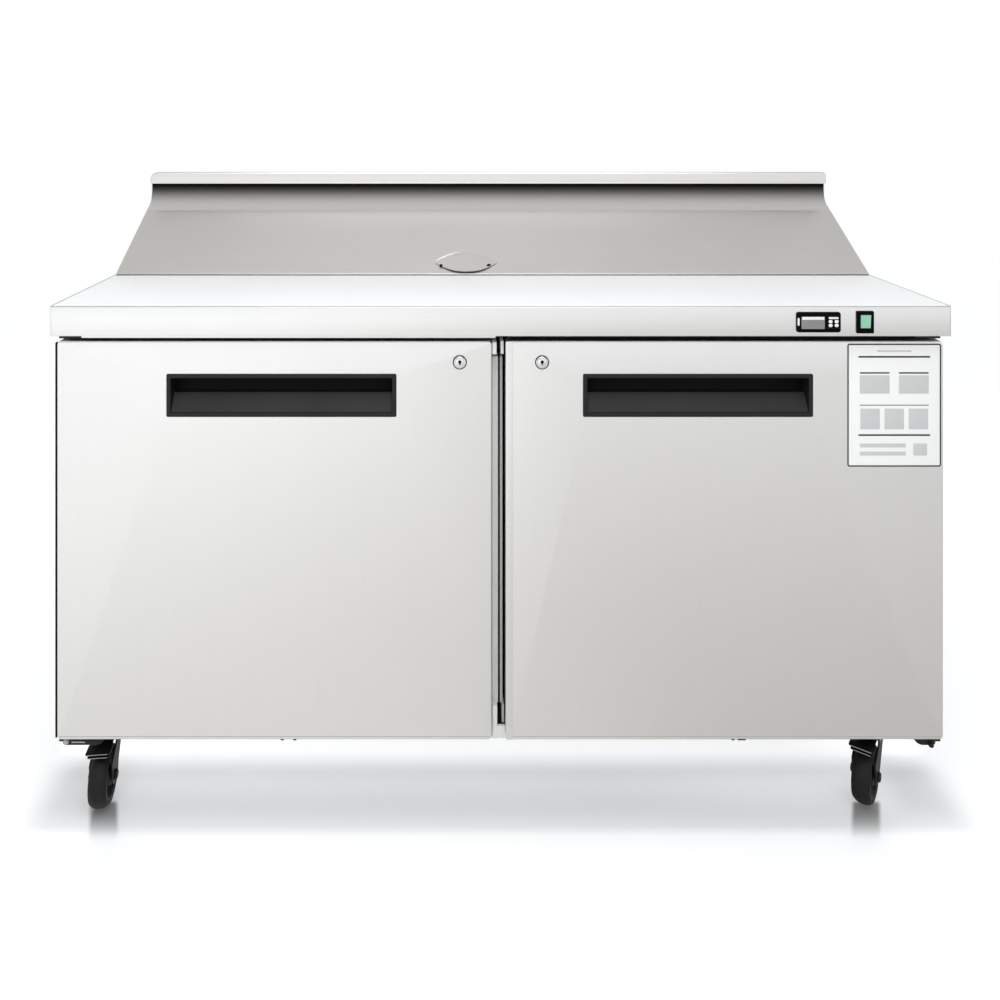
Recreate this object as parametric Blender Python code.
"""Sandwich prep table: a cooled cabinet with two doors, a cutting board and a hinged lid over food pans.

Metres. X runs to the right, Y runs back and Z up from the floor. Inside the script Y is measured from the
apron's front face, and an empty moves the whole table so that the origin lies under its middle.
"""

import bpy
import bmesh
from math import atan2, cos, pi, radians, sin
from mathutils import Matrix, Vector

for leftover in list(bpy.data.objects):
    bpy.data.objects.remove(leftover, do_unlink=True)

# Overall sizes
WIDTH = 1.549
DEPTH = 0.762
GAP = 0.0003  # left between pieces that touch
PLAY = 0.0004  # running clearance round pins and shafts
PAST = 0.01  # how far a cutter runs past a face
SKIN = 0.001  # folded steel sheet

# Worktop and cutting board
DECK = 0.906  # height of the deck under the board
TOP_SHEET = 0.0022
BOARD = 0.0117
BOARD_DEPTH = 0.2933
APRON = 0.052  # height of the front fascia
STRIKE = 0.042  # depth of the apron's lower return, which the lock cams catch

# Cabinet
BASE = 0.1333  # underside of the cabinet above the floor
CABINET_FRONT = 0.082
FRAME_DEPTH = 0.004  # breaker frame round the door openings
SIDE_WALL = 0.045
FLOOR_WALL = 0.0447
ROOF_WALL = 0.045
BACK_WALL = 0.050
MULLION = 0.108
OPENING_INSET = 0.046  # from a door's edge to the opening behind it
RECESS_WIDTH = 0.622  # machine space, open to the rear
RECESS_DEPTH = 0.287
RECESS_HEIGHT = 0.300
RECESS_FLOOR = 0.008  # base board under the machine space

# Doors
DOOR_FRONT = 0.020
DOOR_THICK = 0.050
DOOR_HEM = 0.002  # from the panel's rear edge to the core's back
DOOR_GAP = 0.028
DOOR_TOP_GAP = 0.013
DOOR_DROP = 0.0257  # from the cabinet's underside up to the door's lower edge
PIN_INSET = 0.020  # from the cabinet's side to the hinge pin
PIN_DEPTH = 0.045
PIN_RADIUS = 0.004
PIN_LENGTH = 0.020
BRACKET = 0.005
BRACKET_LEG = 0.003
BRACKET_WIDTH = 0.044
BRACKET_REACH = 0.015  # ahead of the pin
UPPER_GAP = 0.002  # from the door's top to the upper bracket
UPPER_LEG = 0.030  # the upper bracket's leg, above the apron's lower edge
LOWER_GAP = 0.004  # from the door's lower edge to the lower bracket
LOWER_LEG = 0.005  # the lower bracket's leg, below the gasket
PIN_RISE = 0.004  # the upper pin's top above the door
PIN_SINK = 0.006  # the lower pin's foot below the door
PIN_HEAD = 0.0085
PIN_HEAD_SINK = 0.006  # the lower pin's head below its bracket
GASKET_WIDTH = 0.018
GASKET_INSET = 0.020
HANDLE_WIDTH = 0.400
HANDLE_HEIGHT = 0.075
HANDLE_DROP = 0.057  # from the door's top to the handle's top
HANDLE_RIM = 0.006
HANDLE_DEPTH = 0.032
HANDLE_WALL = 0.002
HANDLE_PROUD = 0.0018
HANDLE_JOIN = 0.001  # how far the cup reaches into the rim
HANDLE_SILL = 0.006  # lower edge of the deep slot, above the handle's middle
HANDLE_LEVEL = 0.008  # level stretch of the sill at the back
HANDLE_LEFT = 0.366  # from the free edge to the handle's middle
HANDLE_RIGHT = 0.330
LOCK_DROP = 0.037
LOCK_LEFT = 0.056  # from the free edge
LOCK_RIGHT = 0.059
LOCK_HEAD = 0.012
LOCK_PROUD = 0.0032
LOCK_BARREL = 0.009
LOCK_CAM = 0.003
LOCK_REACH = 0.059
CAM_HALF = 0.006
CAM_GAP = 0.002  # from the strike to the cam
CAM_SLACK = 0.0015  # room round the cam in the door
KEYHOLE_WIDTH = 0.002
KEYHOLE_HEIGHT = 0.007
KEYHOLE_DEPTH = 0.002  # behind the door's face

# Lid and hood
LID_FRONT = 0.300
LID_LIFT = 0.0015  # under the lid's front edge
LID_EDGE = 0.0125  # height of the front edge
SLOPE_RUN = 0.223
SLOPE_RISE = 0.130
RISER = 0.036
LIP = 0.010
LIP_HEIGHT = 0.0125  # of the ledge at its hinge, above the lip's lower edge
LIP_RISE = 0.017  # how far the lip stands above the ledge at the hinge
LEDGE_FLAT = 0.060  # level stretch of the ledge ahead of the hinge
LID_THICK = 0.024
LID_SHEET = 0.0015
HINGE_BACK = 0.070  # from the rear to the piano hinge
BARREL = 0.004
BARREL_PIN = 0.002
KNUCKLES = 9
GABLE = 0.015
BACK_PANEL = 0.015
PULL_WIDTH = 0.131
PULL_LENGTH = 0.067
PULL_HEIGHT = 0.011
PULL_MOUTH = 0.0065  # height of the lower edge, which the finger tips lift
PULL_WALL = 0.002
PULL_UP = 0.0355  # along the slope from its front edge to the pull's middle
PULL_COLUMNS = 18
PULL_ROWS = 8
PULL_X = -0.054
PULL_SPAN = 0.97  # share of the lens that the shell covers

# Pans and shelves
RAIL_FRONT = 0.345
RAIL_BACK = 0.092  # from the rear
RAIL_SIDE = 0.056  # from the cabinet's side
RAIL_FLANGE = 0.014
RAIL_SHEET = 0.0015
PAN_COUNT = 8
PAN_DROP = 0.100
PAN_WALL = 0.0012
PAN_TAPER = 0.006
PAN_BAR = 0.006
PAN_LAP = 0.0015  # how far a rim stays from the line between two pans
PAN_REACH = 0.003  # how far a rim runs out over the rail
PAN_CLEAR = 0.0035  # from a bar to the pan beside it
SHELF_HEIGHT = 0.500
SHELF_FRONT = 0.092
SHELF_BACK = 0.575
SHELF_WIRE = 0.005
SHELF_WIRES = 11
LEDGE = 0.014

# Refrigeration
EVAPORATOR_WIDTH = 0.600
EVAPORATOR_DEPTH = 0.121
EVAPORATOR_LOW = 0.520
EVAPORATOR_HEIGHT = 0.220
COIL_DEPTH = 0.055
FIN_PITCH = 0.020
FIN_PLATE = 0.012  # solid back of a coil
COIL_SIDE = 0.030  # from the cover's side to the coil
COIL_LIFT = 0.020  # from the cover's lower edge to the coil
FAN_RADIUS = 0.080
FAN_HUB = 0.022
FAN_SHAFT = 0.004
FAN_DEPTH = 0.024
FAN_BLADES = 4
FAN_CLEAR = 0.006  # round the blades, in the cover
BLADE_WIDTH = 0.033
BLADE_ROOT = 0.0176  # where a blade starts, inside the hub
BLADE_THICK = 0.002
BLADE_PITCH = radians(30)
SHAFT_END = 0.006  # from a shaft's end to the coil's back
CONDENSER_WIDTH = 0.300
CONDENSER_HEIGHT = 0.240
CONDENSER_SIDE = 0.035  # from the machine space's side
CONDENSER_BACK = 0.030  # from the rear
CONDENSER_FAN_GAP = 0.010
COMPRESSOR_RADIUS = 0.075
COMPRESSOR_HEIGHT = 0.185
COMPRESSOR_BASE = 0.020  # height of the bowl under the dome's wall
COMPRESSOR_FOOT = 0.004
COMPRESSOR_FOOT_HALF = 0.09375
GRILLE_THICK = 0.0025
GRILLE_LAP = 0.008
GRILLE_SLOTS = 10
GRILLE_POST = 0.020

# Controls
CONTROLLER_X = 0.2295  # from the worktop's right end to the controller's middle
CONTROLLER_WIDTH = 0.079
CONTROLLER_HEIGHT = 0.035
CONTROLLER_DEPTH = 0.055
CONTROLLER_LAP_X = 0.008  # how much wider the bezel is than its body
CONTROLLER_LAP_Z = 0.011
SWITCH_X = 0.1495  # from the worktop's right end to the switch's middle
SWITCH_WIDTH = 0.030
SWITCH_HEIGHT = 0.0386
SWITCH_DEPTH = 0.022
SWITCH_LAP_X = 0.004
SWITCH_LAP_Z = 0.0122
SWITCH_WALL = 0.0006
SWITCH_BACK = 0.002
CONTROL_RISE = 0.0245  # from the apron's lower edge to the controls' middle
CONTROL_PROUD = 0.0025
KEYPAD_WIDTH = 0.022
KEYPAD_HEIGHT = 0.021
KEYPAD_THICK = 0.0015
KEYPAD_EDGE = 0.003  # from the keypad to the bezel's right end
KEYPAD_TRAVEL = 0.0012
ROCKER_WIDTH = 0.020
ROCKER_HALF = 0.0116
ROCKER_PIVOT = 0.006
ROCKER_TILT = radians(6)
ROCKER_PIN = 0.002
ROCKER_PIN_END = 0.0015  # how far the pin runs out of the rocker's side
ROCKER_FACE = 0.007  # from the pivot to the face's two ends
ROCKER_MIDDLE = 0.0056  # and to its middle
ROCKER_SKIRT = 0.0035
ROCKER_BACK = 0.003
ROCKER_FOOT = 0.0085

# Casters
CASTER_LEFT = 0.053  # from the cabinet's side to the swivel
CASTER_RIGHT = 0.080
CASTER_FRONT = 0.125  # from the apron's face, and from the rear
PLATE_WIDTH = 0.092
PLATE_DEPTH = 0.060
PLATE_THICK = 0.003
RACE_RADIUS = 0.020
RACE_HEIGHT = 0.008
KINGPIN = 0.005
KINGPIN_END = 0.003  # below the fork's top
FORK_TOP = 0.0045
FORK_LEG = 0.003
FORK_CLEAR = 0.0015  # between a leg and the wheel
FORK_RIM = 0.004  # how far the fork's top runs past the race
FORK_TAIL = 0.009  # height of a leg's rear edge under the fork's top
FORK_TIP = 0.013  # half the width of a leg's lower end
FORK_BELOW = 0.011  # from the axle to the leg's lower end
FORK_CORNER = 0.004
FORK_ABOVE = 0.006  # from the axle to where the front edge starts to lean
WHEEL_RADIUS = 0.050
WHEEL_WIDTH = 0.032
WHEEL_SIDES = 20
WHEEL_BOSS = 0.016  # radius of the hub's boss
WHEEL_WEB = 0.030  # radius where the dished web ends
WHEEL_RIM = 0.036  # radius where the tread starts
TRAIL = 0.038
AXLE = 0.005
NUT_RADIUS = 0.008
NUT_HEIGHT = 0.005
PEDAL_PIN = 0.0025
PEDAL_BACK = 0.020  # from the swivel to the pedal's pivot
PEDAL_HEIGHT = 0.0095  # clear space over the wheel to the pedal's pivot
PEDAL_EYE = 0.0055
PEDAL_SIDE = 0.001  # between the pedal's arm and a leg, and beyond a leg at its tongue
PEDAL_UNDER = 0.004  # from the pivot to the underside
PEDAL_ARM = 0.003
PEDAL_NECK = 0.012  # from the axle to the tongue's start
PEDAL_LAP = 0.002
PEDAL_TONGUE = 0.040  # from the axle to the tongue's end
TONGUE_UNDER = 0.0005  # how far the tongue hangs below the arm
TONGUE_THICK = 0.006
SWIVELS = {"front_left": 6, "front_right": -36, "rear_left": 25, "rear_right": -15}

# Lines that several pieces share
half = WIDTH / 2
board_top = DECK + GAP + BOARD
apron_low = board_top - APRON
rim_half = half - TOP_SHEET
cabinet_half = rim_half - GAP
deck_low = DECK - TOP_SHEET
control_z = apron_low + CONTROL_RISE
foam_half = cabinet_half - SKIN - GAP
foam_front = CABINET_FRONT + FRAME_DEPTH + GAP
bay_half = cabinet_half - SIDE_WALL
bay_floor = BASE + FLOOR_WALL
bay_top = DECK - ROOF_WALL
bay_back = DEPTH - BACK_WALL
door_out = cabinet_half - SKIN
door_free = DOOR_GAP / 2
door_low = BASE + DOOR_DROP
door_top = apron_low - DOOR_TOP_GAP
door_back = DOOR_FRONT + DOOR_THICK
pin_x = cabinet_half - PIN_INSET
lid_half = rim_half - 2 * GAP
lid_low = DECK + LID_LIFT
slope_low = lid_low + LID_EDGE
slope_back = LID_FRONT + SLOPE_RUN
slope_top = slope_low + SLOPE_RISE
slope_angle = atan2(SLOPE_RISE, SLOPE_RUN)
ledge_low = slope_top + RISER
ledge_top = ledge_low + LIP_HEIGHT
hinge_y = DEPTH - HINGE_BACK
hinge_z = ledge_top - LID_SHEET
rail_back = DEPTH - RAIL_BACK
rail_half = cabinet_half - RAIL_SIDE
rail_top = DECK + GAP + RAIL_SHEET
pan_pitch = 2 * (rail_half - RAIL_SHEET) / PAN_COUNT
recess_left = bay_half - RECESS_WIDTH
recess_front = DEPTH - RECESS_DEPTH
recess_top = BASE + RECESS_HEIGHT
recess_floor = BASE + SKIN + GAP + RECESS_FLOOR
hump_front = recess_front - SIDE_WALL
hump_top = recess_top + SIDE_WALL
controller_x = half - CONTROLLER_X
switch_x = half - SWITCH_X
board_front = TOP_SHEET + GAP


# Making and joining solids

def new_shape(bm):
    bmesh.ops.recalc_face_normals(bm, faces=bm.faces)
    if bm.calc_volume(signed=True) < 0:
        bmesh.ops.reverse_faces(bm, faces=bm.faces)
    mesh = bpy.data.meshes.new("solid")
    bm.to_mesh(mesh)
    bm.free()
    shape = bpy.data.objects.new("solid", mesh)
    bpy.context.scene.collection.objects.link(shape)
    return shape


def block(one, other, taper=0.0):
    """Box between two corners. A taper draws its lower face in on all sides."""
    low = Vector(map(min, one, other))
    high = Vector(map(max, one, other))
    bm = bmesh.new()
    bmesh.ops.create_cube(bm, size=1)
    for vert in bm.verts:
        inset = taper if vert.co.z < 0 else 0.0
        for axis in (0, 1, 2):
            edge = high[axis] if vert.co[axis] > 0 else low[axis]
            inward = -inset if vert.co[axis] > 0 else inset
            vert.co[axis] = edge + (inward if axis < 2 else 0.0)
    return new_shape(bm)


def spot(axis, u, v, w):
    """Point with outline place (u, v) at w along an axis: X takes (y, z), Y takes (x, z), Z takes (x, y)."""
    return {"X": (w, u, v), "Y": (u, w, v), "Z": (u, v, w)}[axis]


def prism(outline, axis, start, end):
    bm = bmesh.new()
    face = bm.faces.new([bm.verts.new(spot(axis, u, v, start)) for u, v in outline])
    grown = bmesh.ops.extrude_face_region(bm, geom=[face])["geom"]
    moved = [item for item in grown if isinstance(item, bmesh.types.BMVert)]
    bmesh.ops.translate(bm, verts=moved, vec=spot(axis, 0, 0, end - start))
    return new_shape(bm)


def circle(u, v, radius, sides):
    """Points of a regular outline with a flat facing down."""
    turns = [2 * pi * (i + 0.5) / sides - pi / 2 for i in range(sides)]
    return [(u + radius * cos(turn), v + radius * sin(turn)) for turn in turns]


def rod(u, v, radius, axis, start, end, sides=16):
    return prism(circle(u, v, radius, sides), axis, start, end)


def turned(profile, axis, u, v, w, sides):
    """Profile of (radius, along) points spun about an axis, closed or with both ends on the axis."""
    bm = bmesh.new()
    ends = [bm.verts.new((radius, 0, along)) for radius, along in profile]
    ring = ends + ends[:1] if profile[0][0] > 0 else ends
    for one, other in zip(ring, ring[1:]):
        bm.edges.new((one, other))
    bmesh.ops.rotate(bm, verts=bm.verts, matrix=Matrix.Rotation(pi / sides - pi / 2, 3, "Z"))
    line = bm.verts[:] + bm.edges[:]
    bmesh.ops.spin(bm, geom=line, axis=(0, 0, 1), angle=2 * pi, steps=sides, use_merge=True)
    bmesh.ops.remove_doubles(bm, verts=bm.verts, dist=1e-6)
    for vert in bm.verts:
        vert.co = spot(axis, vert.co.x + u, vert.co.y + v, vert.co.z + w)
    return new_shape(bm)


def lattice(axis, u_bars, v_bars, start, end):
    """Plate whose bars, each a (low, high) pair, leave a hole in every cell between them."""
    us = [edge for bar in u_bars for edge in bar]
    vs = [edge for bar in v_bars for edge in bar]
    bm = bmesh.new()
    grid = [[bm.verts.new(spot(axis, u, v, start)) for v in vs] for u in us]
    for i in range(len(us) - 1):
        for j in range(len(vs) - 1):
            if i % 2 == 0 or j % 2 == 0:
                bm.faces.new((grid[i][j], grid[i + 1][j], grid[i + 1][j + 1], grid[i][j + 1]))
    grown = bmesh.ops.extrude_face_region(bm, geom=bm.faces[:])["geom"]
    moved = [item for item in grown if isinstance(item, bmesh.types.BMVert)]
    bmesh.ops.translate(bm, verts=moved, vec=spot(axis, 0, 0, end - start))
    return new_shape(bm)


def bars(low, high, count, thick):
    """Evenly spaced bars, the first and the last flush with the ends."""
    step = (high - low - thick) / (count - 1)
    return [(low + i * step, low + i * step + thick) for i in range(count)]


def combine(shape, tools, operation):
    for tool in tools:
        step = shape.modifiers.new(operation.lower(), "BOOLEAN")
        step.operation = operation
        step.object = tool
    graph = bpy.context.evaluated_depsgraph_get()
    shaped = bpy.data.meshes.new_from_object(shape.evaluated_get(graph))
    shape.modifiers.clear()
    shape.data = shaped
    for tool in tools:
        bpy.data.objects.remove(tool, do_unlink=True)
    return shape


def cut(shape, *tools):
    return combine(shape, tools, "DIFFERENCE")


def join(shape, *tools):
    return combine(shape, tools, "UNION")


# Materials, pivots and named pieces

def linear(hex_colour):
    """Linear colour of an sRGB hex value."""
    parts = [int(hex_colour[i:i + 2], 16) / 255 for i in (0, 2, 4)]
    return [part / 12.92 if part <= 0.04045 else ((part + 0.055) / 1.055) ** 2.4 for part in parts] + [1.0]


def look(name, hex_colour, roughness, metallic):
    material = bpy.data.materials.new(name)
    material.use_nodes = True
    shader = material.node_tree.nodes["Principled BSDF"]
    shader.inputs["Base Color"].default_value = linear(hex_colour)
    shader.inputs["Roughness"].default_value = roughness
    shader.inputs["Metallic"].default_value = metallic
    return material


STEEL = look("brushed_steel", "D9DADA", 0.35, 1.0)
PLATED = look("plated_steel", "C4C6C8", 0.3, 1.0)
DARK_STEEL = look("painted_bracket", "26282A", 0.5, 0.0)
COATED_WIRE = look("coated_wire", "E4E6E6", 0.45, 0.0)
ALUMINIUM = look("aluminium_fins", "BFC3C6", 0.4, 1.0)
BLACK_PAINT = look("black_paint", "18191A", 0.5, 0.0)
POLYETHYLENE = look("white_polyethylene", "F4F7F8", 0.55, 0.0)
BLACK_PLASTIC = look("black_plastic", "1E1C1D", 0.45, 0.0)
GREY_PLASTIC = look("grey_frame_plastic", "B9BABA", 0.5, 0.0)
GREEN_LENS = look("green_lens", "93BDA8", 0.3, 0.0)
RUBBER = look("grey_gasket", "4A4B4C", 0.8, 0.0)
TREAD = look("black_tread", "1A1A1B", 0.7, 0.0)
FOAM = look("foam", "E2D9B8", 0.9, 0.0)

table = bpy.data.objects.new("prep_table", None)
table.location = (0, -DEPTH / 2, 0)
bpy.context.scene.collection.objects.link(table)
places = {table: Vector((0, 0, 0))}


def pivot(name, place, holder=table, turn=0.0):
    """Empty on a joint's axis. Its place is measured as all places here, whatever holds it."""
    axis = bpy.data.objects.new(name, None)
    bpy.context.scene.collection.objects.link(axis)
    axis.parent = holder
    axis.location = Vector(place) - places[holder]
    axis.rotation_euler = (0, 0, turn)
    places[axis] = Vector(place)
    return axis


def piece(name, shape, material, holder=table):
    shape.name = name
    shape.data.name = name
    shape.data.materials.clear()
    shape.data.materials.append(material)
    shape.data.shade_smooth()
    shape.data.set_sharp_from_angle(angle=radians(35))
    shape.data.transform(Matrix.Translation(-places[holder]))
    shape.parent = holder


# Worktop, board and controls

def make_worktop():
    top = block((-half, 0, apron_low), (half, DEPTH, board_top))
    rail = GAP + rail_half
    cut(
        top,
        block((-rim_half, TOP_SHEET, DECK), (rim_half, DEPTH + PAST, board_top + PAST)),
        block((-rim_half, STRIKE, apron_low - PAST), (rim_half, DEPTH + PAST, deck_low)),
        block((-rim_half, TOP_SHEET, apron_low + TOP_SHEET), (rim_half, STRIKE + PAST, deck_low)),
        block((-rail, RAIL_FRONT - GAP, deck_low - PAST), (rail, rail_back + GAP, DECK + PAST)),
        control_body(controller_x, controller_body(), -PAST, PAST, GAP),
        control_body(switch_x, switch_body(), -PAST, PAST, GAP),
    )
    piece("worktop", top, STEEL)
    lift = pivot("board_lift", (0, board_front, DECK + GAP))
    board_half = rim_half - 2 * GAP
    board_low = (-board_half, board_front, DECK + GAP)
    board = block(board_low, (board_half, board_front + BOARD_DEPTH, board_top))
    piece("cutting_board", board, POLYETHYLENE, lift)


def control_body(x, size, start, end, grow=0.0):
    """Block as wide and high as a control's body, between two distances from the apron's face."""
    wide, high = size
    low = (x - wide / 2 - grow, start, control_z - high / 2 - grow)
    return block(low, (x + wide / 2 + grow, end, control_z + high / 2 + grow))


def controller_body():
    return CONTROLLER_WIDTH - CONTROLLER_LAP_X, CONTROLLER_HEIGHT - CONTROLLER_LAP_Z


def switch_body():
    return SWITCH_WIDTH - SWITCH_LAP_X, SWITCH_HEIGHT - SWITCH_LAP_Z


def make_controller():
    bezel = control_body(controller_x, (CONTROLLER_WIDTH, CONTROLLER_HEIGHT), -CONTROL_PROUD, -GAP)
    join(bezel, control_body(controller_x, controller_body(), -CONTROL_PROUD / 2, CONTROLLER_DEPTH))
    keys_x = controller_x + CONTROLLER_WIDTH / 2 - KEYPAD_WIDTH / 2 - KEYPAD_EDGE
    keys = (KEYPAD_WIDTH, KEYPAD_HEIGHT)
    keys_back = KEYPAD_THICK - CONTROL_PROUD
    cut(bezel, control_body(keys_x, keys, -CONTROL_PROUD - PAST, keys_back + KEYPAD_TRAVEL, GAP))
    piece("controller_bezel", bezel, BLACK_PLASTIC)
    press = pivot("keypad_press", (keys_x, keys_back, control_z))
    piece("controller_keypad", control_body(keys_x, keys, -CONTROL_PROUD, keys_back), BLACK_PLASTIC, press)


def make_switch():
    bezel = control_body(switch_x, (SWITCH_WIDTH, SWITCH_HEIGHT), -CONTROL_PROUD, -GAP)
    body = control_body(switch_x, switch_body(), -CONTROL_PROUD / 2, SWITCH_DEPTH)
    chamber_size = (ROCKER_WIDTH + 4 * GAP, switch_body()[1] - 2 * SWITCH_WALL)
    chamber = control_body(switch_x, chamber_size, -PAST, SWITCH_DEPTH - SWITCH_BACK)
    pin_end = ROCKER_WIDTH / 2 + ROCKER_PIN_END
    seat_end = pin_end + GAP
    hole = ROCKER_PIN + PLAY
    seat = rod(ROCKER_PIVOT, control_z, hole, "X", switch_x - seat_end, switch_x + seat_end, 12)
    piece("switch_bezel", cut(join(bezel, body), chamber, seat), BLACK_PLASTIC)
    outline = [(-ROCKER_FACE, ROCKER_HALF), (-ROCKER_MIDDLE, 0), (-ROCKER_FACE, -ROCKER_HALF)]
    outline += [(-ROCKER_SKIRT, -ROCKER_HALF), (ROCKER_BACK, -ROCKER_FOOT)]
    outline += [(ROCKER_BACK, ROCKER_FOOT), (-ROCKER_SKIRT, ROCKER_HALF)]
    turn = Matrix.Rotation(ROCKER_TILT, 2)
    tilted = [turn @ Vector(point) for point in outline]
    placed = [(ROCKER_PIVOT + y, control_z + z) for y, z in tilted]
    rocker = prism(placed, "X", switch_x - ROCKER_WIDTH / 2, switch_x + ROCKER_WIDTH / 2)
    join(rocker, rod(ROCKER_PIVOT, control_z, ROCKER_PIN, "X", switch_x - pin_end, switch_x + pin_end, 12))
    axis = pivot("rocker_axis", (switch_x, ROCKER_PIVOT, control_z))
    piece("power_rocker", rocker, GREEN_LENS, axis)


# Cabinet shell, foam, liner and breaker frame

def bay(grow, front):
    """Space that the liner bounds, grown on every side, with the machine hump kept out of it."""
    low = (-bay_half - grow, front, bay_floor - grow)
    space = block(low, (bay_half + grow, bay_back + grow, bay_top + grow))
    hump_low = (recess_left - SIDE_WALL + grow, hump_front + grow, BASE - PAST)
    hump_high = (half + PAST, DEPTH + PAST, hump_top - grow)
    return cut(space, block(hump_low, hump_high))


def throat(grow, low, high):
    """Hole under the deck that the pan rail hangs in."""
    side = rail_half + grow
    return block((-side, RAIL_FRONT - grow, low), (side, rail_back + grow, high))


def recess(grow, low, rear):
    low_corner = (recess_left - grow, recess_front - grow, low)
    return block(low_corner, (bay_half + grow, rear, recess_top + grow))


def make_cabinet():
    shell = block((-cabinet_half, CABINET_FRONT, BASE), (cabinet_half, DEPTH, deck_low - GAP))
    inside = cabinet_half - SKIN
    hollow = block((-inside, CABINET_FRONT - PAST, BASE + SKIN), (inside, DEPTH - SKIN, DECK + PAST))
    cut(shell, hollow, recess(-GRILLE_LAP, recess_floor + GRILLE_LAP, DEPTH + PAST))
    piece("outer_shell", shell, STEEL)

    foam_low = (-foam_half, foam_front, BASE + SKIN + GAP)
    foam = block(foam_low, (foam_half, DEPTH - SKIN - GAP, deck_low - GAP))
    cut(foam, bay(SKIN + GAP, CABINET_FRONT), recess(0.0, recess_floor, DEPTH + PAST))
    cut(foam, throat(GAP, bay_top - PAST, DECK + PAST))
    piece("cabinet_foam", foam, FOAM)

    liner = cut(bay(SKIN, foam_front), bay(0.0, CABINET_FRONT), throat(GAP, bay_top - PAST, DECK))
    for side in (-1, 1):
        ledge_back = min(SHELF_BACK, bay_back) if side < 0 else hump_front
        low = (side * (bay_half - LEDGE), SHELF_FRONT, SHELF_HEIGHT - GAP - SHELF_WIRE)
        join(liner, block(low, (side * (bay_half + SKIN / 2), ledge_back, SHELF_HEIGHT - GAP)))
    piece("inner_liner", liner, STEEL)

    frame_low = (-foam_half, CABINET_FRONT, BASE + SKIN + GAP)
    frame = block(frame_low, (foam_half, CABINET_FRONT + FRAME_DEPTH, deck_low - GAP))
    for side in (-1, 1):
        low = (side * MULLION / 2, CABINET_FRONT - PAST, door_low + OPENING_INSET)
        out = side * (door_out - OPENING_INSET)
        cut(frame, block(low, (out, CABINET_FRONT + PAST, door_top - OPENING_INSET)))
    clip_low = (-MULLION / 3, CABINET_FRONT + FRAME_DEPTH / 2, SHELF_HEIGHT - GAP - 2 * SHELF_WIRE)
    join(frame, block(clip_low, (MULLION / 3, SHELF_FRONT + 2 * SHELF_WIRE, SHELF_HEIGHT - GAP)))
    piece("door_frame", frame, GREY_PLASTIC)


# Doors with cores, gaskets, handles, locks and hinge brackets

def make_brackets(side, word):
    edge = side * (cabinet_half - SKIN)
    inner = edge - side * BRACKET_WIDTH
    leg_back = CABINET_FRONT - GAP
    for level, foot, tip, pin_low in (
        ("upper", door_top + UPPER_GAP, apron_low + UPPER_LEG, door_top + PIN_RISE - PIN_LENGTH),
        ("lower", door_low - LOWER_GAP - BRACKET, door_low + GASKET_INSET - LOWER_LEG, door_low - PIN_SINK),
    ):
        plate = block((inner, PIN_DEPTH - BRACKET_REACH, foot), (edge, leg_back, foot + BRACKET))
        leg = block((inner, leg_back - BRACKET_LEG, foot), (edge, leg_back, tip))
        pin = rod(side * pin_x, PIN_DEPTH, PIN_RADIUS, "Z", pin_low, pin_low + PIN_LENGTH, 12)
        head_low = foot + BRACKET / 2 if level == "upper" else foot - PIN_HEAD_SINK
        head = rod(side * pin_x, PIN_DEPTH, 2 * PIN_RADIUS, "Z", head_low, head_low + PIN_HEAD, 6)
        piece(f"{level}_hinge_{word}", join(plate, leg, pin, head), DARK_STEEL)


def door_block(side, inset, front, back):
    low = (side * (door_free + inset), front, door_low + inset)
    return block(low, (side * (door_out - inset), back, door_top - inset))


def handle_block(x, z, inset, front, back):
    wide = HANDLE_WIDTH / 2 - inset
    high = HANDLE_HEIGHT / 2 - inset
    return block((x - wide, front, z - high), (x + wide, back, z + high))


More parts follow.
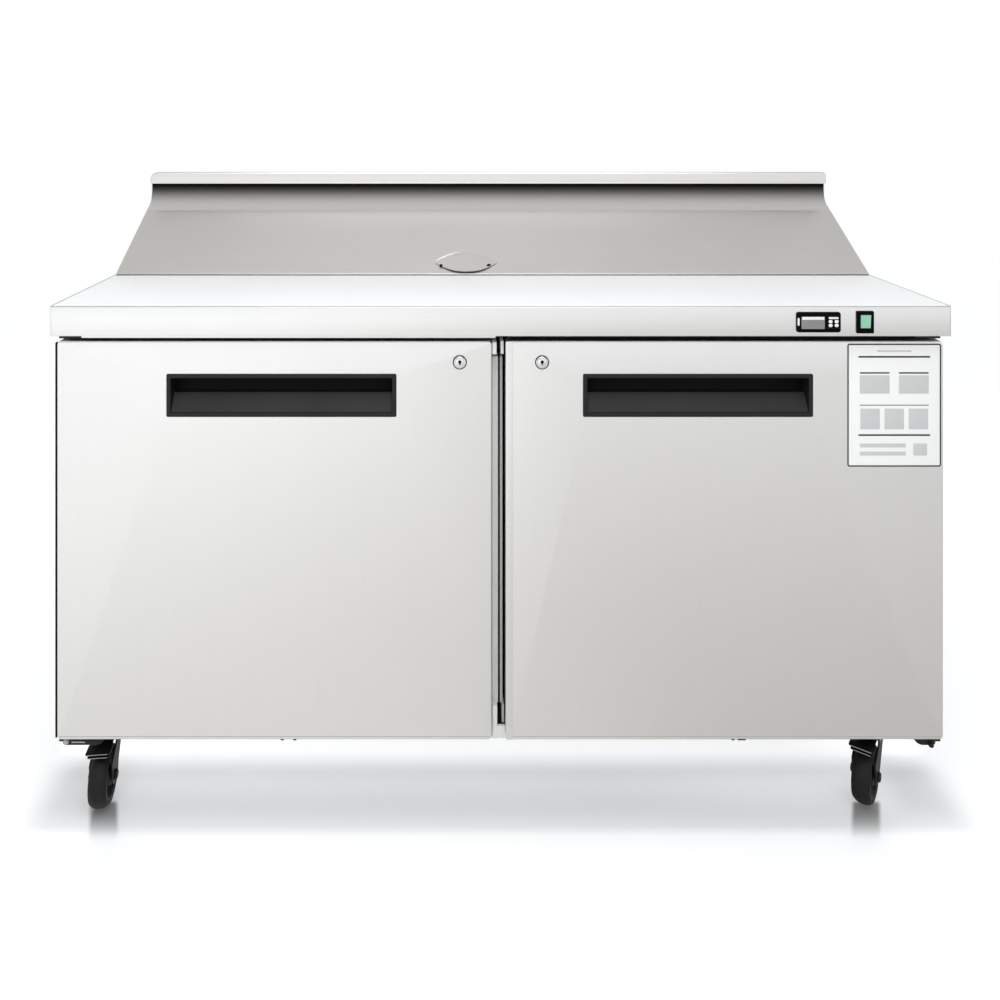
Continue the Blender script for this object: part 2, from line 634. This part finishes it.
def make_door(side, word, handle_in, lock_in):
    swing = pivot(f"{word}_door_axis", (side * pin_x, PIN_DEPTH, 0))
    handle_x = side * (door_free + handle_in)
    handle_z = door_top - HANDLE_DROP - HANDLE_HEIGHT / 2
    lock_x = side * (door_free + lock_in)
    lock_z = door_top - LOCK_DROP
    cam_front = STRIKE + CAM_GAP
    cam_back = cam_front + LOCK_CAM

    def pockets():
        """Cutters for the handle's cup, the hinge pins, the lock's barrel and the cam's sweep."""
        cam_end = lock_x + side * (LOCK_REACH + CAM_SLACK)
        cam_start = lock_x - side * (LOCK_BARREL + CAM_SLACK)
        cam_low = (cam_end, cam_front - CAM_SLACK, lock_z - LOCK_BARREL - CAM_SLACK)
        cam_high = (cam_start, cam_back + CAM_SLACK, door_top + PAST)
        hole = PIN_RADIUS + PLAY
        return [
            handle_block(handle_x, handle_z, HANDLE_RIM - GAP, 0, DOOR_FRONT + HANDLE_DEPTH + GAP),
            rod(side * pin_x, PIN_DEPTH, hole, "Z", door_top - PIN_LENGTH, door_top + PAST, 12),
            rod(side * pin_x, PIN_DEPTH, hole, "Z", door_low - PAST, door_low + PIN_LENGTH, 12),
            rod(lock_x, lock_z, LOCK_BARREL + PLAY, "Y", 0, cam_front, 20),
            block(cam_low, cam_high),
        ]

    panel = door_block(side, 0, DOOR_FRONT, door_back - DOOR_HEM)
    cut(panel, door_block(side, SKIN, DOOR_FRONT + SKIN, door_back + PAST), *pockets())
    piece(f"door_panel_{word}", panel, STEEL, swing)
    core = door_block(side, SKIN + GAP, DOOR_FRONT + SKIN + GAP, door_back)
    piece(f"door_core_{word}", cut(core, *pockets()), FOAM, swing)

    seal = door_block(side, GASKET_INSET, door_back + GAP, CABINET_FRONT - GAP)
    cut(seal, door_block(side, GASKET_INSET + GASKET_WIDTH, door_back - PAST, CABINET_FRONT + PAST))
    piece(f"door_gasket_{word}", seal, RUBBER, swing)

    cup = handle_block(handle_x, handle_z, 0, DOOR_FRONT - HANDLE_PROUD, DOOR_FRONT - GAP)
    cup_front = DOOR_FRONT - HANDLE_JOIN
    join(cup, handle_block(handle_x, handle_z, HANDLE_RIM, cup_front, DOOR_FRONT + HANDLE_DEPTH))
    mouth = HANDLE_HEIGHT / 2 - HANDLE_RIM - HANDLE_WALL
    back = DOOR_FRONT + HANDLE_DEPTH - HANDLE_WALL
    outline = [(0, -mouth), (DOOR_FRONT, -mouth), (back - HANDLE_LEVEL, HANDLE_SILL)]
    outline += [(back, HANDLE_SILL), (back, mouth), (0, mouth)]
    wide = HANDLE_WIDTH / 2 - HANDLE_RIM - HANDLE_WALL
    hollow = [(y, handle_z + z) for y, z in outline]
    cut(cup, prism(hollow, "X", handle_x - wide, handle_x + wide))
    piece(f"door_handle_{word}", cup, BLACK_PLASTIC, swing)

    lock_axis = pivot(f"{word}_lock_axis", (lock_x, DOOR_FRONT, lock_z), swing)
    head = rod(lock_x, lock_z, LOCK_HEAD, "Y", DOOR_FRONT - LOCK_PROUD, DOOR_FRONT - GAP, 20)
    barrel = rod(lock_x, lock_z, LOCK_BARREL, "Y", DOOR_FRONT - LOCK_PROUD / 2, cam_back, 20)
    cam_out = lock_x + side * LOCK_REACH
    cam = block((lock_x, cam_front, lock_z - CAM_HALF), (cam_out, cam_back, lock_z + CAM_HALF))
    slot_x, slot_z = KEYHOLE_WIDTH / 2, KEYHOLE_HEIGHT / 2
    slot_low = (lock_x - slot_x, DOOR_FRONT - LOCK_PROUD - PAST, lock_z - slot_z)
    keyhole = block(slot_low, (lock_x + slot_x, DOOR_FRONT + KEYHOLE_DEPTH, lock_z + slot_z))
    piece(f"door_lock_{word}", cut(join(head, barrel, cam), keyhole), PLATED, lock_axis)
    make_brackets(side, word)


# Lid, hood and pull

def lid_path(inset):
    """Outer line of the lid from its front edge to the ledge's level stretch, moved inward by an inset."""
    slant = inset * (1 - sin(slope_angle)) / cos(slope_angle)
    rise = inset * (1 / cos(slope_angle) - sin(slope_angle) / cos(slope_angle))
    return [
        (LID_FRONT + inset, slope_low - slant),
        (slope_back + inset, slope_top - rise),
        (slope_back + inset, ledge_low + inset),
        (slope_back - LIP + inset, ledge_low + inset),
        (slope_back - LIP + inset, ledge_top + LIP_RISE - inset),
        (hinge_y - LEDGE_FLAT, ledge_top - inset),
    ]


def under_slope(y, below):
    """Height of the line that runs below the slope's face, measured square to it."""
    return slope_low + (y - LID_FRONT) * SLOPE_RISE / SLOPE_RUN - below / cos(slope_angle)


def inner_line(below, foot, end):
    """Underside of the lid, or what lies under it, from the hinge end down to the slope's foot."""
    riser_y = slope_back + below
    foot_y = LID_FRONT + (foot - slope_low + below / cos(slope_angle)) * SLOPE_RUN / SLOPE_RISE
    level = ledge_top - below
    return [(end, level), (riser_y, level), (riser_y, under_slope(riser_y, below)), (foot_y, foot)]


def knuckles(mine, radius, grow=0.0):
    """Barrel pieces of the piano hinge that belong to one leaf: 0 for the hood, 1 for the lid."""
    long = 2 * lid_half / KNUCKLES
    for i in range(mine, KNUCKLES, 2):
        low = -lid_half + i * long
        yield rod(hinge_y, hinge_z, radius, "X", low + GAP - grow, low + long - GAP + grow, 16)


def make_lid():
    swing = pivot("lid_axis", (0, hinge_y, hinge_z))
    end = hinge_y - GAP
    outer = [(LID_FRONT, lid_low)] + lid_path(0) + [(end, ledge_top)]
    panel = prism(outer + inner_line(LID_THICK, lid_low, end), "X", -lid_half, lid_half)
    below = [(LID_FRONT + LID_SHEET, DECK - PAST)] + lid_path(LID_SHEET)
    below += [(hinge_y + PAST, ledge_top - LID_SHEET), (hinge_y + PAST, DECK - PAST)]
    cut(panel, prism(below, "X", LID_SHEET - lid_half, lid_half - LID_SHEET))
    cut(panel, *knuckles(0, BARREL + PLAY, 2 * GAP))
    join(panel, *knuckles(1, BARREL))
    cut(panel, rod(hinge_y, hinge_z, BARREL_PIN + PLAY, "X", -half, half, 12))
    piece("lid_panel", panel, STEEL, swing)

    tuck = LID_SHEET + GAP
    line = [(LID_FRONT + tuck, lid_low)] + lid_path(tuck) + [(end, ledge_top - tuck)]
    core = prism(line + inner_line(LID_THICK, lid_low, end), "X", tuck - lid_half, lid_half - tuck)
    cut(core, rod(hinge_y, hinge_z, BARREL + 2 * PLAY, "X", -half, half, 16))
    piece("lid_core", core, FOAM, swing)
    make_pull(swing)


def pull_point(i, j, lift):
    """Point of the pull's shell: column i along X, row j from the upper edge to the lifted lower one."""
    across = PULL_SPAN * (2 * i / PULL_COLUMNS - 1)
    down = j / PULL_ROWS
    crown = 1 - across ** 2
    hump = (PULL_MOUTH - PULL_WALL) * sin(pi / 2 * down)
    hump += (PULL_HEIGHT - PULL_MOUTH) * sin(pi * down)
    along = crown * (0.5 - down) * PULL_LENGTH
    return across * PULL_WIDTH / 2, along, GAP + lift + crown * hump


def rim_of(grid):
    """Corner points round the edge of a grid, in order."""
    lower = [column[-1] for column in grid[1:]]
    upper = [column[0] for column in grid[-2:0:-1]]
    return grid[0] + lower + grid[-1][-2::-1] + upper


def make_pull(swing):
    """Raised shell with a lens outline on the slope, open along its lower edge for the fingers."""
    bm = bmesh.new()
    skins = []
    for lift in (0, PULL_WALL):
        columns = range(PULL_COLUMNS + 1)
        skins.append([[bm.verts.new(pull_point(i, j, lift)) for j in range(PULL_ROWS + 1)] for i in columns])
    for grid in skins:
        for one, other in zip(grid, grid[1:]):
            for j in range(PULL_ROWS):
                bm.faces.new((one[j], other[j], other[j + 1], one[j + 1]))
    low, high = [rim_of(grid) for grid in skins]
    for k in range(len(low)):
        bm.faces.new((low[k - 1], low[k], high[k], high[k - 1]))
    pull = new_shape(bm)
    lift = Matrix.Translation((PULL_X, LID_FRONT, slope_low)) @ Matrix.Rotation(slope_angle, 4, "X")
    pull.data.transform(lift @ Matrix.Translation((0, PULL_UP, 0)))
    piece("lid_handle", pull, PLATED, swing)


def make_hood():
    foot = DECK + GAP
    end = hinge_y + GAP
    top = [(end, ledge_top), (DEPTH, ledge_top), (DEPTH, foot)]
    outline = inner_line(LID_THICK + 4 * GAP, foot, end)[::-1] + top
    hood = prism(outline, "X", -lid_half, lid_half)
    inside = lid_half - GABLE
    room_top = ledge_top - LID_THICK - 4 * GAP
    cut(hood, block((-inside, 0, foot - PAST), (inside, DEPTH - BACK_PANEL, room_top)))
    cut(hood, *knuckles(1, BARREL + PLAY, 2 * GAP))
    join(hood, *knuckles(0, BARREL))
    join(hood, rod(hinge_y, hinge_z, BARREL_PIN, "X", GAP - lid_half, lid_half - GAP, 12))
    piece("hood_shell", hood, STEEL)


# Pan rail, pans and shelves

def make_pans():
    side = rail_half + RAIL_FLANGE
    flange = block((-side, RAIL_FRONT - RAIL_FLANGE, DECK + GAP), (side, rail_back + RAIL_FLANGE, rail_top))
    join(flange, throat(0.0, bay_top, rail_top - RAIL_SHEET / 2))
    cut(flange, throat(-RAIL_SHEET, bay_top - PAST, rail_top + PAST))
    first = RAIL_SHEET - rail_half
    edges = [first + i * pan_pitch for i in range(PAN_COUNT + 1)]
    for x in edges[1:-1]:
        low = (x - PAN_BAR / 2, RAIL_FRONT + RAIL_SHEET / 2, DECK - PAN_BAR)
        join(flange, block(low, (x + PAN_BAR / 2, rail_back - RAIL_SHEET / 2, rail_top)))
    piece("pan_rail", flange, STEEL)

    clear = PAN_BAR / 2 + PAN_CLEAR
    rim_top = rail_top + GAP + PAN_WALL
    for i in range(PAN_COUNT):
        left, right = edges[i], edges[i + 1]
        front, back = RAIL_FRONT + RAIL_SHEET, rail_back - RAIL_SHEET
        rim_low = (left + PAN_LAP, front - PAN_REACH, rail_top + GAP)
        pan = block(rim_low, (right - PAN_LAP, back + PAN_REACH, rim_top))
        low = (left + clear, front + clear, rim_top - PAN_DROP)
        high = (right - clear, back - clear, rim_top)
        join(pan, block(low, (high[0], high[1], rim_top - PAN_WALL / 2), PAN_TAPER))
        inner_low = (low[0] + PAN_WALL, low[1] + PAN_WALL, low[2] + PAN_WALL)
        cut(pan, block(inner_low, (high[0] - PAN_WALL, high[1] - PAN_WALL, rim_top + GAP), PAN_TAPER))
        piece(f"pan_{i + 1}", pan, STEEL)


def make_shelves():
    """Wire shelves. The right one ends ahead of the machine hump where it lies no higher than that."""
    right_back = SHELF_BACK if SHELF_HEIGHT > hump_top else hump_front - GAP
    for side, word, back in ((-1, "left", SHELF_BACK), (1, "right", right_back)):
        low, high = sorted((side * SHELF_WIRE, side * (bay_half - GAP)))
        wires = bars(low, high, SHELF_WIRES, SHELF_WIRE)
        braces = bars(SHELF_FRONT, back, 3, SHELF_WIRE)
        shelf = lattice("Z", wires, braces, SHELF_HEIGHT, SHELF_HEIGHT + SHELF_WIRE)
        piece(f"shelf_{word}", shelf, COATED_WIRE)


# Refrigeration

def fin_block(left, right, front, back, low, high):
    """Coil with fins: a comb outline seen from above, standing on its rear plate."""
    spine = back - FIN_PLATE
    count = int((right - left) / FIN_PITCH)
    step = (right - left) / count
    outline = [(right, back), (left, back)]
    for i in range(count):
        x = left + i * step
        outline += [(x, front), (x + step / 2, front), (x + step / 2, spine)]
        outline += [(x + step, spine)] if i < count - 1 else [(right, spine)]
    return prism(outline, "Z", low, high)


def make_fan(x, y, z, shaft):
    """Axial fan on a shaft along Y, with flat pitched blades."""
    hub = rod(x, z, FAN_HUB, "Y", y, y + FAN_DEPTH, 16)
    for i in range(FAN_BLADES):
        blade_low = (-BLADE_WIDTH / 2, -BLADE_THICK / 2, BLADE_ROOT)
        blade = block(blade_low, (BLADE_WIDTH / 2, BLADE_THICK / 2, FAN_RADIUS))
        turn = Matrix.Rotation(2 * pi * i / FAN_BLADES, 4, "Y") @ Matrix.Rotation(BLADE_PITCH, 4, "Z")
        blade.data.transform(Matrix.Translation((x, y + FAN_DEPTH / 2, z)) @ turn)
        join(hub, blade)
    cut(hub, rod(x, z, shaft + PLAY, "Y", y - PAST, y + FAN_DEPTH + PAST, 12))
    return hub


def make_evaporator():
    wide = EVAPORATOR_WIDTH / 2
    back = bay_back - GAP
    front = back - EVAPORATOR_DEPTH
    high = EVAPORATOR_LOW + EVAPORATOR_HEIGHT
    middle = EVAPORATOR_LOW + EVAPORATOR_HEIGHT / 2
    wall = 2 * SKIN
    cover = block((-wide, front, EVAPORATOR_LOW), (wide, back, high))
    inside = wide - wall
    cut(cover, block((-inside, front + wall, EVAPORATOR_LOW - PAST), (inside, back + PAST, high - wall)))
    cut(cover, rod(0, middle, FAN_RADIUS + FAN_CLEAR, "Y", front - PAST, front + wall + PAST, 28))
    piece("evaporator_cover", cover, COATED_WIRE)

    coil_front = back - COIL_DEPTH
    fan_y = front + 2 * wall
    coil_half = inside - COIL_SIDE
    coil_low = EVAPORATOR_LOW + COIL_LIFT
    coil = fin_block(-coil_half, coil_half, coil_front, back, coil_low, high - wall - GAP)
    join(coil, rod(0, middle, FAN_SHAFT, "Y", fan_y + GAP, back - SHAFT_END, 12))
    piece("evaporator_coil", coil, ALUMINIUM)
    fan = make_fan(0, fan_y, middle, FAN_SHAFT)
    piece("evaporator_fan", fan, BLACK_PLASTIC, pivot("evaporator_fan_axis", (0, fan_y, middle)))


def make_condenser():
    floor = recess_floor + GAP
    left = recess_left + CONDENSER_SIDE
    right = left + CONDENSER_WIDTH
    back = DEPTH - CONDENSER_BACK
    middle_x = (left + right) / 2
    middle_z = floor + CONDENSER_HEIGHT / 2
    coil_front = back - COIL_DEPTH
    coil = fin_block(left, right, coil_front, back, floor, floor + CONDENSER_HEIGHT)
    fan_y = coil_front - FAN_DEPTH - CONDENSER_FAN_GAP
    join(coil, rod(middle_x, middle_z, FAN_SHAFT, "Y", fan_y + GAP, back - SHAFT_END, 12))
    piece("condenser_coil", coil, ALUMINIUM)
    fan = make_fan(middle_x, fan_y, middle_z, FAN_SHAFT)
    piece("condenser_fan", fan, BLACK_PLASTIC, pivot("condenser_fan_axis", (middle_x, fan_y, middle_z)))

    x = (right + bay_half) / 2
    y = recess_front + RECESS_DEPTH / 2
    r, tall = COMPRESSOR_RADIUS, COMPRESSOR_HEIGHT
    wide = COMPRESSOR_FOOT_HALF
    foot = block((x - wide, y - r, floor), (x + wide, y + r, floor + COMPRESSOR_FOOT))
    dome_line = [(0, COMPRESSOR_FOOT / 2), (r, COMPRESSOR_BASE), (r, 0.45 * tall)]
    dome_line += [(1.04 * r, 0.46 * tall), (1.04 * r, 0.52 * tall), (r, 0.53 * tall)]
    dome_line += [(r, 0.72 * tall), (0.85 * r, 0.9 * tall), (0.45 * r, tall), (0, tall)]
    piece("compressor", join(foot, turned(dome_line, "Z", x, y, floor, 24)), BLACK_PAINT)


def make_grille():
    left, right = recess_left - 2 * GAP, bay_half + 2 * GAP
    slat = (recess_top - recess_floor) / (2.2 * GRILLE_SLOTS)
    rows = bars(recess_floor, recess_top, GRILLE_SLOTS + 1, slat)
    posts = bars(left, right, 3, GRILLE_POST)
    piece("rear_grille", lattice("Y", posts, rows, DEPTH + GAP, DEPTH + GRILLE_THICK), STEEL)


# Casters, made round the swivel's axis with the wheel ahead of it

def caster_parts(brake):
    plate_top = BASE - GAP
    plate_low = plate_top - PLATE_THICK
    race_low = plate_low - RACE_HEIGHT
    fork_high = race_low - GAP
    fork_low = fork_high - FORK_TOP
    wide, deep = PLATE_WIDTH / 2, PLATE_DEPTH / 2
    plate = block((-wide, -deep, plate_low), (wide, deep, plate_top))
    join(plate, rod(0, 0, RACE_RADIUS, "Z", race_low, plate_low + PLATE_THICK / 2, 24))
    join(plate, rod(0, 0, KINGPIN, "Z", fork_low - KINGPIN_END, race_low + RACE_HEIGHT / 2, 16))

    cheek = WHEEL_WIDTH / 2 + FORK_CLEAR
    out = cheek + FORK_LEG
    tail = RACE_RADIUS
    brow = -RACE_RADIUS - FORK_RIM
    fork = block((-out, brow, fork_low), (out, tail, fork_high))
    join(fork, rod(0, 0, RACE_RADIUS + FORK_RIM, "Z", fork_low, fork_high, 24))
    hub = WHEEL_RADIUS
    tip, foot, corner = FORK_TIP, hub - FORK_BELOW, hub - FORK_CORNER
    leg = [(tail, fork_high), (tail, fork_low - FORK_TAIL), (tip - TRAIL, corner), (tip / 2 - TRAIL, foot)]
    leg += [(-tip / 2 - TRAIL, foot), (-tip - TRAIL, corner), (-tip - TRAIL, hub + FORK_ABOVE)]
    leg += [(brow, 2 * hub), (brow, fork_high)]
    for start, end in ((-out, -cheek), (cheek, out)):
        join(fork, prism(leg, "X", start, end))
    nut = out + NUT_HEIGHT
    join(fork, rod(-TRAIL, hub, AXLE, "X", -out, out, 16))
    join(fork, rod(-TRAIL, hub, NUT_RADIUS, "X", -nut, -cheek - FORK_LEG / 2, 6))
    join(fork, rod(-TRAIL, hub, NUT_RADIUS, "X", cheek + FORK_LEG / 2, nut, 6))
    pedal_z = 2 * WHEEL_RADIUS + PEDAL_HEIGHT
    if brake:
        join(fork, rod(-PEDAL_BACK, pedal_z, PEDAL_PIN, "X", -out, out, 12))
    cut(fork, rod(0, 0, KINGPIN + PLAY, "Z", fork_low - PAST, fork_high + PAST, 16))

    tread = WHEEL_RADIUS / cos(pi / WHEEL_SIDES)
    side = WHEEL_WIDTH / 2
    bore = AXLE + PLAY
    line = [(bore, -0.9 * side), (WHEEL_BOSS, -0.9 * side), (WHEEL_WEB, -0.55 * side)]
    line += [(WHEEL_RIM, -side), (tread, -0.75 * side)]
    line += [(radius, -along) for radius, along in reversed(line)]
    wheel = turned(line, "X", -TRAIL, hub, 0, WHEEL_SIDES)

    pedal = None
    if brake:
        arm = cheek - PEDAL_SIDE
        pedal = rod(-PEDAL_BACK, pedal_z, PEDAL_EYE, "X", -arm, arm, 16)
        under = pedal_z - PEDAL_UNDER
        neck = TRAIL + PEDAL_NECK
        wide = out + PEDAL_SIDE
        tongue_low = under - TONGUE_UNDER
        join(pedal, block((-arm, -neck - PEDAL_LAP, under), (arm, -PEDAL_BACK, under + PEDAL_ARM)))
        tongue_end = (wide, -neck, tongue_low + TONGUE_THICK)
        join(pedal, block((-wide, -TRAIL - PEDAL_TONGUE, tongue_low), tongue_end))
        cut(pedal, rod(-PEDAL_BACK, pedal_z, PEDAL_PIN + PLAY, "X", -2 * arm, 2 * arm, 12))
    return plate, fork, wheel, pedal


def make_casters():
    for corner, turn in SWIVELS.items():
        level, word = corner.split("_")
        x = CASTER_LEFT - cabinet_half if word == "left" else cabinet_half - CASTER_RIGHT
        y = CASTER_FRONT if level == "front" else DEPTH - CASTER_FRONT
        plate, fork, wheel, pedal = caster_parts(level == "front")
        swivel = pivot(f"{corner}_swivel", (x, y, 0), table, radians(turn))
        plate.data.transform(Matrix.Translation((x, y, 0)))
        piece(f"caster_plate_{corner}", plate, PLATED)
        moving = [("fork", fork, BLACK_PAINT), ("wheel", wheel, TREAD)]
        moving += [("pedal", pedal, BLACK_PAINT)] if pedal else []
        for name, shape, material in moving:
            shape.data.transform(Matrix.Translation((x, y, 0)))
            piece(f"caster_{name}_{corner}", shape, material, swivel)


make_worktop()
make_controller()
make_switch()
make_cabinet()
make_door(-1, "left", HANDLE_LEFT, LOCK_LEFT)
make_door(1, "right", HANDLE_RIGHT, LOCK_RIGHT)
make_lid()
make_hood()
make_pans()
make_shelves()
make_evaporator()
make_condenser()
make_grille()
make_casters()
